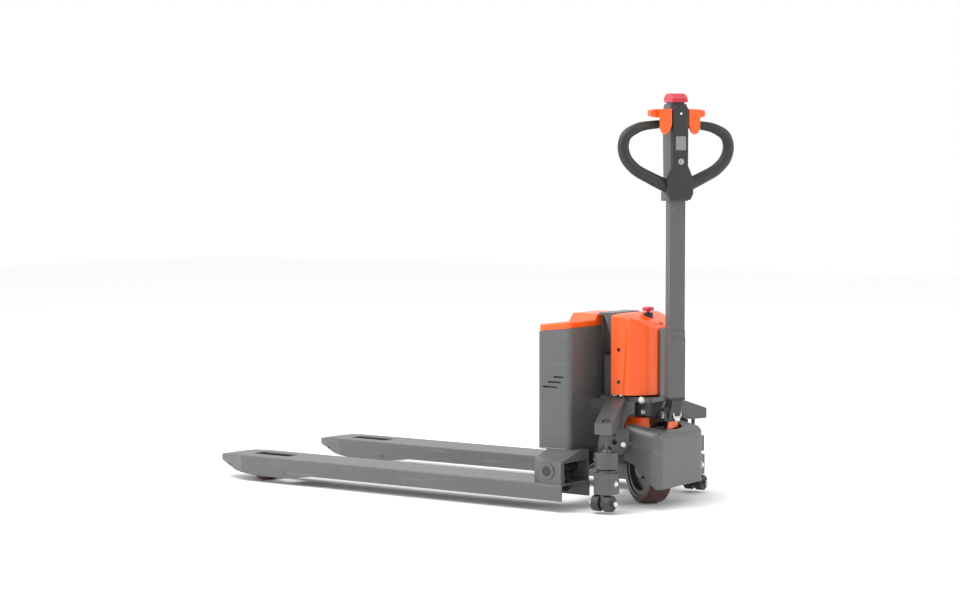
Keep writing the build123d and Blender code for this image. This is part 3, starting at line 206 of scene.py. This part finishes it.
# ---------------------------------------------------------------- forks and heel
# Folded plate forks with closed noses, welded cheeks and a cross tube at the heel. Satin grey
# powder coat with an orange-peel skin, scuffed lengthwise by pallets on its upper faces.
def powder_coat(name, low, high, wear):
    """Satin powder coat: clouded grey, a fine peel, and rub marks drawn out along the truck."""
    finish = Finish(name, **{"Coat Weight": 0.08, "Coat Roughness": 0.2})
    cloud = finish.noise(3.5, 5.0)
    peel = finish.noise(620.0, 2.0)
    speck = finish.noise(70.0, 4.0)
    rubs = finish.noise(38.0, 4.0, (0.12, 1.6, 1.6)).ramp(0.62, 0.78) * wear
    paint = finish.mix((cloud * 0.7 + speck * 0.3).ramp(0.3, 0.7), low, high)
    finish.set(finish.shader, {
        "Base Color": finish.mix(rubs * 0.5, paint, (0.21, 0.21, 0.205)),
        "Roughness": 0.36 + 0.1 * speck + 0.14 * rubs,
        "Normal": finish.raise_by(peel + 0.5 * speck - 0.6 * rubs, 0.00006)})
    return finish.material


def body_of_node(name):
    """The moving body that holds this node."""
    return next(body for body, members in bodies.items() if name in members)


def dress(name, finish, rounding, segments=2, angle=32.0):
    """The node's own shape with its triangles joined and its sharp edges rounded."""
    mesh = bpy.data.meshes.new(name + "_finished")
    work = bmesh.new()
    work.from_mesh(nodes[name].data)
    bmesh.ops.remove_doubles(work, verts=work.verts, dist=2e-6)
    bmesh.ops.dissolve_limit(work, angle_limit=math.radians(0.6), verts=work.verts, edges=work.edges)
    for face in work.faces:
        face.smooth = True
        face.material_index = 0
    work.to_mesh(mesh)
    work.free()
    mesh.materials.clear()
    mesh.materials.append(finish)
    mesh.set_sharp_from_angle(angle=math.radians(angle))
    piece = bpy.data.objects.new(name + "_finished", mesh)
    bpy.context.collection.objects.link(piece)
    if rounding:
        bevel = piece.modifiers.new("edges", "BEVEL")
        bevel.width = rounding
        bevel.segments = segments
        bevel.limit_method = "ANGLE"
        bevel.angle_limit = math.radians(angle)
        bevel.harden_normals = True
        bevel.use_clamp_overlap = True
    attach(piece, body_of_node(name))
    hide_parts(name)
    return piece


def surface(name, rings, finish, body, caps=True, loop=False):
    """A closed skin through rings of points.

    Point (i, j) of ring i joins its neighbours j + 1 and i + 1; each ring closes on itself. With
    caps the first and last rings are filled; with loop the last ring joins the first.
    """
    rings = np.asarray(rings, float)
    count, around = rings.shape[:2]
    i, j = np.meshgrid(np.arange(count if loop else count - 1), np.arange(around), indexing="ij")
    following = (j + 1) % around
    above = (i + 1) % count
    quads = np.stack([i * around + j, i * around + following, above * around + following,
                      above * around + j], axis=-1).reshape(-1, 4).tolist()
    if caps and not loop:
        quads.append(list(range(around))[::-1])
        quads.append(list(range((count - 1) * around, count * around)))
    mesh = bpy.data.meshes.new(name)
    mesh.from_pydata(rings.reshape(-1, 3).tolist(), [], quads)
    work = bmesh.new()
    work.from_mesh(mesh)
    if work.calc_volume(signed=True) < 0:
        bmesh.ops.reverse_faces(work, faces=work.faces)
    work.to_mesh(mesh)
    work.free()
    mesh.polygons.foreach_set("use_smooth", np.ones(len(mesh.polygons), dtype=bool))
    mesh.set_sharp_from_angle(angle=math.radians(40))
    mesh.materials.append(finish)
    piece = bpy.data.objects.new(name, mesh)
    bpy.context.collection.objects.link(piece)
    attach(piece, body)
    return piece


def tube(path, radii, around=20):
    """Rings of a round bar: circles of the given radii square to the path at each of its points."""
    path = np.asarray(path, float)
    along = np.gradient(path, axis=0)
    along /= np.linalg.norm(along, axis=1)[:, None]
    side = np.cross(along, (0.31, 0.23, 0.92))
    side /= np.linalg.norm(side, axis=1)[:, None]
    up = np.cross(side, along)
    turn = np.linspace(0, 2 * np.pi, around, endpoint=False)
    radii = np.broadcast_to(radii, len(path))[:, None, None]
    return path[:, None] + radii * (np.cos(turn)[None, :, None] * side[:, None]
                                    + np.sin(turn)[None, :, None] * up[:, None])


def lathe(profile, centre, axis, around=48):
    """Rings of a turned piece: each profile point is (radius, distance along the axis)."""
    axis = np.asarray(axis, float) / np.linalg.norm(axis)
    side = np.cross(axis, (0.0, 0.0, 1.0) if abs(axis[2]) < 0.9 else (1.0, 0.0, 0.0))
    side /= np.linalg.norm(side)
    up = np.cross(axis, side)
    turn = np.linspace(0, 2 * np.pi, around, endpoint=False)
    profile = np.asarray(profile, float)
    circle = np.cos(turn)[:, None] * side + np.sin(turn)[:, None] * up
    return np.asarray(centre) + profile[:, 0, None, None] * circle + profile[:, 1, None, None] * axis


fork_grey = powder_coat("powder_coat_forks", (0.078, 0.079, 0.081), (0.098, 0.099, 0.101), 1.0)
for name in ("fork_left", "fork_right", "pivot_cheeks", "heel_tube", "crown_plate"):
    dress(name, fork_grey, 0.0014)

weld = powder_coat("painted_weld", (0.13, 0.13, 0.13), (0.16, 0.16, 0.16), 0.0)
box_low, box_high = (np.array(corner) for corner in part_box("battery_box"))
for sign in (-1, 1):
    bead_y = sign * (box_high[1] + 0.001)
    run = np.linspace(box_low[0] + 0.014, box_high[0] - 0.014, 60)
    path = np.stack([run, np.full(60, bead_y), np.full(60, box_low[2] + 0.001)], axis=1)
    ripple = 0.0026 + 0.0004 * np.sin(np.arange(60) * 2.1)
    bead = surface(f"box_weld_{'left' if sign < 0 else 'right'}", tube(path, ripple, 12), weld, "fork_frame")

# ---------------------------------------------------------------- battery box and its cap
# A tall folded steel box with three slots each side, a black battery inside, and an orange
# moulded cap whose raised middle is the handle. The cap lifts out with the battery.
box_grey = powder_coat("powder_coat_box", (0.074, 0.075, 0.077), (0.092, 0.093, 0.095), 0.35)
dress("battery_box", box_grey, 0.0012)


def moulding(name, low, high, rough, grain, depth, coat=0.0):
    """Moulded plastic: even colour with faint flow marks, a fine spark texture, small scuffs."""
    finish = Finish(name, **{"Coat Weight": coat, "Coat Roughness": 0.1})
    flow = finish.noise(6.0, 4.0, (1.0, 1.0, 0.4))
    spark = finish.noise(grain, 2.0)
    scuff = finish.noise(55.0, 5.0, (1.8, 1.8, 0.4)).ramp(0.64, 0.8)
    finish.set(finish.shader, {
        "Base Color": finish.mix(flow.ramp(0.3, 0.7), low, high),
        "Roughness": rough + 0.07 * spark + 0.10 * scuff,
        "Normal": finish.raise_by(spark - 0.3 * scuff, depth)})
    return finish.material


orange = moulding("orange_plastic", (0.80, 0.088, 0.004), (0.87, 0.104, 0.006), 0.30, 900.0, 0.00003, 0.15)
black = moulding("black_plastic", (0.010, 0.010, 0.010), (0.017, 0.017, 0.016), 0.44, 1400.0, 0.00008)
dress("battery_cap", orange, 0.0030, 3)
dress("battery_pack", black, 0.0020)

# ---------------------------------------------------------------- power cover
# A thin orange moulding over the pump and controller: flat sides with two soft creases, bevelled
# corners towards the tiller and a top that falls away, screwed on at its sides and front edge.
cover_low, cover_high = (np.array(corner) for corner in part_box("power_cover"))
flat_end = -0.026
low_top = 0.547
cover_shoulder = 0.010


def cover_plan(count):
    """Points evenly spaced round the whole outline of the cover in plan, its corners eased."""
    half = cover_high[1]
    corners = np.array([
        (cover_low[0], -half), (-0.030, -half), (-0.004, -half), (0.038, -0.068), (cover_high[0], -0.030),
        (cover_high[0], 0.030), (0.038, 0.068), (-0.004, half), (-0.030, half), (cover_low[0], half)])
    closed = np.vstack([corners, corners[:1]])
    step = np.linalg.norm(np.diff(closed, axis=0), axis=1)
    place = np.concatenate([[0], np.cumsum(step)])
    want = np.linspace(0, place[-1], count, endpoint=False)
    plan = np.stack([np.interp(want, place, closed[:, k]) for k in (0, 1)], axis=1)
    for _ in range(5):
        rounded = 0.25 * np.roll(plan, 1, axis=0) + 0.5 * plan + 0.25 * np.roll(plan, -1, axis=0)
        keep = (plan[:, 0] < cover_low[0] + 0.004)[:, None]
        plan = np.where(keep, plan, rounded)
    return plan


def cover_skin():
    """Rings of the cover: its plan at rising heights, drawn in along the creases and over the top.

    Each side dips along two slanting lines, deepest at mid height; the top follows the fall
    from flat_end to the nose, with a rounded shoulder, and closes over a narrow ridge.
    """
    plan = cover_plan(360)
    x, y = plan[:, 0], plan[:, 1]
    top = np.interp(x, [flat_end, cover_high[0]], [cover_high[2], low_top])
    top = top - 0.06 * (top - low_top)
    middle_x = np.clip(x, cover_low[0] + 0.020, cover_high[0] - 0.030)
    rings = []
    for t in np.linspace(0, 1, 40):
        z = cover_low[2] + t * (top - cover_shoulder - cover_low[2])
        line_a = -0.030 + 0.014 * t
        line_b = 0.006 + 0.006 * t
        dip = 0.0034 * np.exp(-((x - line_a) / 0.006) ** 2) + 0.0026 * np.exp(-((x - line_b) / 0.010) ** 2)
        dip = dip * np.sin(np.pi * np.clip(t * 1.05, 0, 1)) ** 0.5
        rings.append(np.stack([x, y - np.sign(y) * dip * (np.abs(y) > 0.05), z], axis=1))
    for s in np.linspace(0.15, 1, 8):
        turn = s * np.pi / 2
        inset = cover_shoulder * (1 - np.cos(turn))
        rings.append(np.stack([
            x - np.sign(x - middle_x) * np.minimum(inset, np.abs(x - middle_x)),
            y - np.sign(y) * inset, top - cover_shoulder + cover_shoulder * np.sin(turn)], axis=1))
    edge = rings[-1]
    for s in np.linspace(0.2, 1, 6):
        rings.append(np.stack([
            edge[:, 0] + s * 0.6 * (middle_x - edge[:, 0]), edge[:, 1] * (1 - 0.97 * s),
            np.interp(edge[:, 0] + s * 0.6 * (middle_x - edge[:, 0]),
                      [flat_end, cover_high[0]], [cover_high[2], low_top + 0.002]) - 0.0004], axis=1))
    return np.array(rings)


cover = surface("power_cover_moulding", cover_skin(), orange, "chassis")
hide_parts("power_cover")

screw_black = moulding("blackened_screws", (0.012, 0.012, 0.012), (0.03, 0.03, 0.03), 0.3, 600.0, 0.00002)
dress("cover_screws", screw_black, 0.0004)
dress("stop_switch_base", black, 0.0010)
red = moulding("red_plastic", (0.42, 0.010, 0.030), (0.52, 0.018, 0.045), 0.20, 900.0, 0.00002, 0.4)
dress("stop_knob", red, 0.0016, 3)

# ---------------------------------------------------------------- chassis head and caster arms
# A plate head with the steering housing under it, box-section arms out to the side casters and
# a frame plate in front of the cover. Welded steel in the same grey, with bright bolt heads.
arm_grey = powder_coat("powder_coat_chassis", (0.060, 0.060, 0.062), (0.078, 0.078, 0.080), 0.3)
for name in ("chassis_head", "caster_arm_left", "caster_arm_right"):
    dress(name, arm_grey, 0.0016)
dress("cover_frame", box_grey, 0.0008)


def plated(name, low, high, rough, drawn=(1.0, 1.0, 1.0)):
    """Plated or ground metal: tarnish clouds, fine tool lines and tiny pits."""
    finish = Finish(name, **{"Metallic": 1.0})
    cloud = finish.noise(45.0, 4.0)
    lines = finish.noise(900.0, 2.0, drawn)
    pits = finish.cells(900.0).ramp(0.0, 0.25)
    finish.set(finish.shader, {
        "Base Color": finish.mix(cloud.ramp(0.3, 0.7), low, high),
        "Roughness": rough + 0.12 * cloud + 0.06 * lines,
        "Normal": finish.raise_by(lines + 0.3 * pits, 0.00002)})
    return finish.material


zinc = plated("zinc_plate", (0.62, 0.62, 0.60), (0.80, 0.80, 0.77), 0.22)
steel = plated("ground_steel", (0.42, 0.42, 0.42), (0.55, 0.55, 0.55), 0.22, (1.0, 1.0, 0.1))
for name in ("arm_bolts", "hinge_pin", "bracket_pins"):
    painted = name == "bracket_pins"
    dress(name, arm_grey if painted else zinc, 0.0006)
for name in ("cylinder_rod", "push_rod_left", "push_rod_right", "key_barrel"):
    dress(name, steel, 0.0004)


def bolt_head(name, place, axis, body, across=0.0085, tall=0.0055):
    """A six-sided head with a chamfered rim on a thin washer, standing on place along axis."""
    washer = lathe([(across * 1.25, 0.0), (across * 1.25, 0.0011), (across * 0.2, 0.0012)], place, axis, 24)
    surface(name + "_washer", washer, zinc, body)
    turn = np.linspace(0, 2 * np.pi, 24, endpoint=False)
    hexagon = np.cos(np.pi / 6) / np.cos((turn + np.pi / 6) % (np.pi / 3) - np.pi / 6)
    rings = lathe([(1, 0.001), (1, tall * 0.8), (0.86, tall), (0.2, tall * 1.02)], (0, 0, 0), axis, 24)
    middle_line = np.array([0.001, tall * 0.8, tall, tall * 1.02])[:, None, None] * np.asarray(axis, float)
    radial = (rings - middle_line) * across
    shape = np.array([1.0, 1.0, 0.6, 0.6])[:, None] * (hexagon - 1)[None, :] + 1
    rings = np.asarray(place) + middle_line + radial * shape[..., None]
    surface(name, rings, zinc, body)


bolt_head("head_bolt_left", (0.033, -0.100, 0.324), (0, -1, 0), "chassis")
bolt_head("head_bolt_right", (0.033, 0.100, 0.324), (0, 1, 0), "chassis")
bolt_head("housing_bolt_left", (0.006, -0.0422, 0.283), (0, -1, 0), "chassis", 0.006)
bolt_head("housing_bolt_right", (0.006, 0.0422, 0.283), (0, 1, 0), "chassis", 0.006)

# ---------------------------------------------------------------- side casters
# Spring cup, swivelling block and small twin wheels on each arm: dark painted castings with
# bright bolts at the cup, on the block's side and on the ends of the axle.
caster_dark = powder_coat("caster_paint", (0.052, 0.052, 0.053), (0.075, 0.075, 0.076), 0.4)
tread_black = moulding("caster_tread", (0.016, 0.016, 0.016), (0.028, 0.027, 0.026), 0.5, 500.0, 0.0001)
for side, sign in (("left", -1), ("right", 1)):
    dress(f"caster_housing_{side}", caster_dark, 0.0012)
    dress(f"caster_fork_{side}", caster_dark, 0.0016)
    dress(f"caster_wheels_{side}", tread_black, 0.0010)
    low, high = (np.array(corner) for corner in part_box(f"caster_housing_{side}"))
    stem = (low + high) / 2
    bolt_head(f"cup_bolt_{side}", (low[0] + 0.0004, stem[1], 0.158), (-1, 0, 0), "chassis", 0.0065)
    low, high = (np.array(corner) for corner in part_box(f"caster_fork_{side}"))
    bolt_head(f"block_bolt_{side}", (stem[0] + 0.0318, stem[1], 0.090), (1, 0, 0),
              f"caster_{side[0]}", 0.0075)
    bolt_head(f"axle_nut_{side}_1", (low[0] + 0.0005, stem[1] + sign * 0.016, 0.032), (-1, 0, 0),
              f"caster_{side[0]}", 0.0068)
    bolt_head(f"axle_nut_{side}_2", (high[0] - 0.0005, stem[1] + sign * 0.016, 0.032), (1, 0, 0),
              f"caster_{side[0]}", 0.0068)

# ---------------------------------------------------------------- fender
# A deep pressed guard round the drive wheel with a broad rolled rim, bolted to the arm lugs.
fender_grey = powder_coat("powder_coat_fender", (0.074, 0.075, 0.077), (0.092, 0.093, 0.095), 0.5)
dress("fender", fender_grey, 0.0012)

# ---------------------------------------------------------------- drive unit
# Cast turntable and gearbox with an upright motor, under a moulded orange cap. The wheel is a
# cast hub with a bonded polyurethane tyre, dulled and marked by the floor.
iron = powder_coat("cast_iron", (0.030, 0.030, 0.031), (0.055, 0.055, 0.055), 0.5)
for name in ("turntable", "gearbox", "drive_hub"):
    dress(name, iron, 0.0015)
black_paint = moulding("black_paint", (0.010, 0.010, 0.011), (0.020, 0.020, 0.021), 0.30, 420.0, 0.00006, 0.2)
for name in ("drive_motor", "pump_unit", "rocker_shaft", "rocker_levers", "cylinder_barrel",
             "tiller_bracket", "tiller_foot"):
    dress(name, black_paint, 0.0012)
dress("oil_tank", black, 0.0020)
dress("motor_cover", orange, 0.0040, 4, 25.0)
aluminium = plated("cast_aluminium", (0.50, 0.50, 0.50), (0.62, 0.62, 0.62), 0.35)
for name in ("roller_bracket_left", "roller_bracket_right", "motor_controller"):
    dress(name, aluminium, 0.0008)

parked = -34
steer = math.radians(parked)
out_way = np.array([math.cos(steer), math.sin(steer), 0.0])
side_way = np.array([-math.sin(steer), math.cos(steer), 0.0])


def steered(out, side, up):
    """The place this far out along the parked tiller, to its side, and up, in metres."""
    return out * out_way + side * side_way + np.array([0.0, 0.0, up])


def urethane(name, low, high):
    """Cast polyurethane: deep colour, dusty mottling, fine scratches round the tread."""
    finish = Finish(name, **{"Coat Weight": 0.1})
    dust = finish.noise(30.0, 5.0)
    grit = finish.noise(420.0, 3.0)
    finish.set(finish.shader, {
        "Base Color": finish.mix(dust.ramp(0.45, 0.8) * 0.5, low, high),
        "Roughness": 0.34 + 0.2 * dust,
        "Normal": finish.raise_by(grit + dust, 0.00012)})
    return finish.material


def tyre_profile(outer, inner, half):
    """Closed section of a tyre as (radius, offset): crowned tread, rounded shoulders, flat bore."""
    turn = np.linspace(0, np.pi / 2, 9)
    shoulder = 0.009
    right = np.stack([
        outer - shoulder + shoulder * np.cos(turn), half - shoulder + shoulder * np.sin(turn)], axis=1)
    across = np.linspace(-1, 1, 13)[1:-1] * (half - shoulder)
    crown = np.stack([outer - 0.0008 * (across / half) ** 2, across], axis=1)
    left = right[::-1] * (1, -1)
    bore = np.array([(inner, half), (inner, half / 3), (inner, -half / 3), (inner, -half)])
    return np.vstack([left, crown, right, bore])


drive_red = urethane("polyurethane_drive", (0.050, 0.011, 0.009), (0.085, 0.040, 0.034))
wheel_low, wheel_high = (np.array(corner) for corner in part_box("drive_tyre"))
wheel_radius = (wheel_high[2] - wheel_low[2]) / 2
hub_radius = 0.080
half_tread = 0.035
tyre_section = tyre_profile(wheel_radius, hub_radius, half_tread)
tyre_rings = lathe(tyre_section, (0, 0, wheel_radius), side_way, 96)
tyre = surface("drive_tyre_moulded", tyre_rings, drive_red, "drive_wheel", loop=True)
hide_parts("drive_tyre")
load_red = urethane("polyurethane_load", (0.105, 0.020, 0.014), (0.14, 0.06, 0.05))
for side in ("left", "right"):
    dress(f"load_roller_{side}", load_red, 0.0030, 3)
nylon = moulding("dark_nylon", (0.020, 0.020, 0.021), (0.034, 0.034, 0.034), 0.4, 500.0, 0.00005)
dress("entry_rollers", nylon, 0.0010)

# ---------------------------------------------------------------- return spring
# Bright spring wire: a straight leg from the sheath's foot down to a coil in front of the hinge.
# It goes down with the tiller.
coil_turns = 4.5
coil_radius = 0.0085
turn = np.linspace(0, 2 * np.pi * coil_turns, 160)
coil = np.array([
    steered(0.172 + coil_radius * np.cos(a), 0.004 + 0.0020 * a / np.pi - 0.006,
            0.276 + coil_radius * np.sin(a))
    for a in turn])
leg = np.linspace(steered(0.176, -0.012, 0.336), coil[0], 14)[:-1]
spring = surface("return_spring", tube(np.vstack([leg, coil]), 0.0021, 10), zinc, "tiller")

# ---------------------------------------------------------------- tiller
# A folded grey post in a sheath, with a grey head casting faced in black plastic, padded loops
# either side, orange thumb wings, a red belly button, key switch, display and lamp.
tiller_grey = powder_coat("powder_coat_tiller", (0.070, 0.071, 0.073), (0.088, 0.089, 0.091), 0.3)
for name in ("tiller_sheath", "tiller_post", "head_shell"):
    dress(name, tiller_grey, 0.0012)
for name in ("head_face", "horn_button", "lift_button", "lower_button"):
    dress(name, black, 0.0016, 3)
dress("thumb_wings", orange, 0.0026, 3)
dress("belly_button", red, 0.0020, 3)

glass = Finish("display_glass", **{"Coat Weight": 1.0, "Coat Roughness": 0.05})
segments = glass.noise(260.0, 1.0, (1.0, 1.0, 2.4)).ramp(0.48, 0.56)
glass.set(glass.shader, {
    "Base Color": glass.mix(segments * 0.35, (0.20, 0.21, 0.22), (0.09, 0.095, 0.10)),
    "Roughness": 0.12 + 0.06 * glass.noise(500.0),
    "Normal": glass.raise_by(glass.noise(60.0), 0.00001)})
dress("display_window", glass.material, 0.0003)

grip_black = moulding("grip_rubber", (0.011, 0.011, 0.010), (0.019, 0.019, 0.018), 0.5, 700.0, 0.00018)
for side, sign in (("left", -1), ("right", 1)):
    knots = np.array([(0.024, 1.152), (0.068, 1.149), (0.130, 1.137), (0.164, 1.115), (0.173, 1.086),
                      (0.165, 1.052), (0.138, 1.021), (0.085, 0.992), (0.024, 0.965)])
    gone = np.concatenate([[0], np.cumsum(np.linalg.norm(np.diff(knots, axis=0), axis=1))])
    fine = np.linspace(0, gone[-1], 140)
    slope = np.gradient(knots, gone, axis=0)
    place = np.clip(np.searchsorted(gone, fine, side="right") - 1, 0, len(gone) - 2)
    span = (gone[place + 1] - gone[place])[:, None]
    part = (fine - gone[place])[:, None] / span
    curve = ((2 * part**3 - 3 * part**2 + 1) * knots[place]
             + (part**3 - 2 * part**2 + part) * span * slope[place]
             + (3 * part**2 - 2 * part**3) * knots[place + 1]
             + (part**3 - part**2) * span * slope[place + 1])
    share = fine / gone[-1]
    thick = np.interp(share, [0, 0.16, 0.34, 0.55, 0.8, 1.0],
                      [0.0118, 0.0128, 0.0158, 0.0172, 0.0180, 0.0200])
    set_back = np.interp(share, [0, 0.16, 0.3, 1.0], [0.172, 0.172, 0.179, 0.179])
    path = np.array([steered(o, sign * v, z) for o, (v, z) in zip(set_back, curve)])
    grip = surface(f"grip_{side}", tube(path, thick, 28), grip_black, "tiller")
    if side == "left":
        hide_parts("grip_loops")

lamp_white = moulding("lamp_lens", (0.80, 0.80, 0.78), (0.86, 0.86, 0.84), 0.15, 900.0, 0.00001, 0.5)
dome = np.linspace(0, np.pi / 2 - 0.08, 7)
lamp_radius = 0.0034
lamp_rise = 0.0016
lamp_cap = np.stack([lamp_radius * np.cos(dome), lamp_rise * np.sin(dome)], axis=1)
lamp_profile = np.vstack([[(lamp_radius, -0.0015)], lamp_cap])
lamp_rings = lathe(lamp_profile, steered(0.211, 0.0, 1.181), out_way, 24)
lamp = surface("status_lamp", lamp_rings, lamp_white, "tiller")
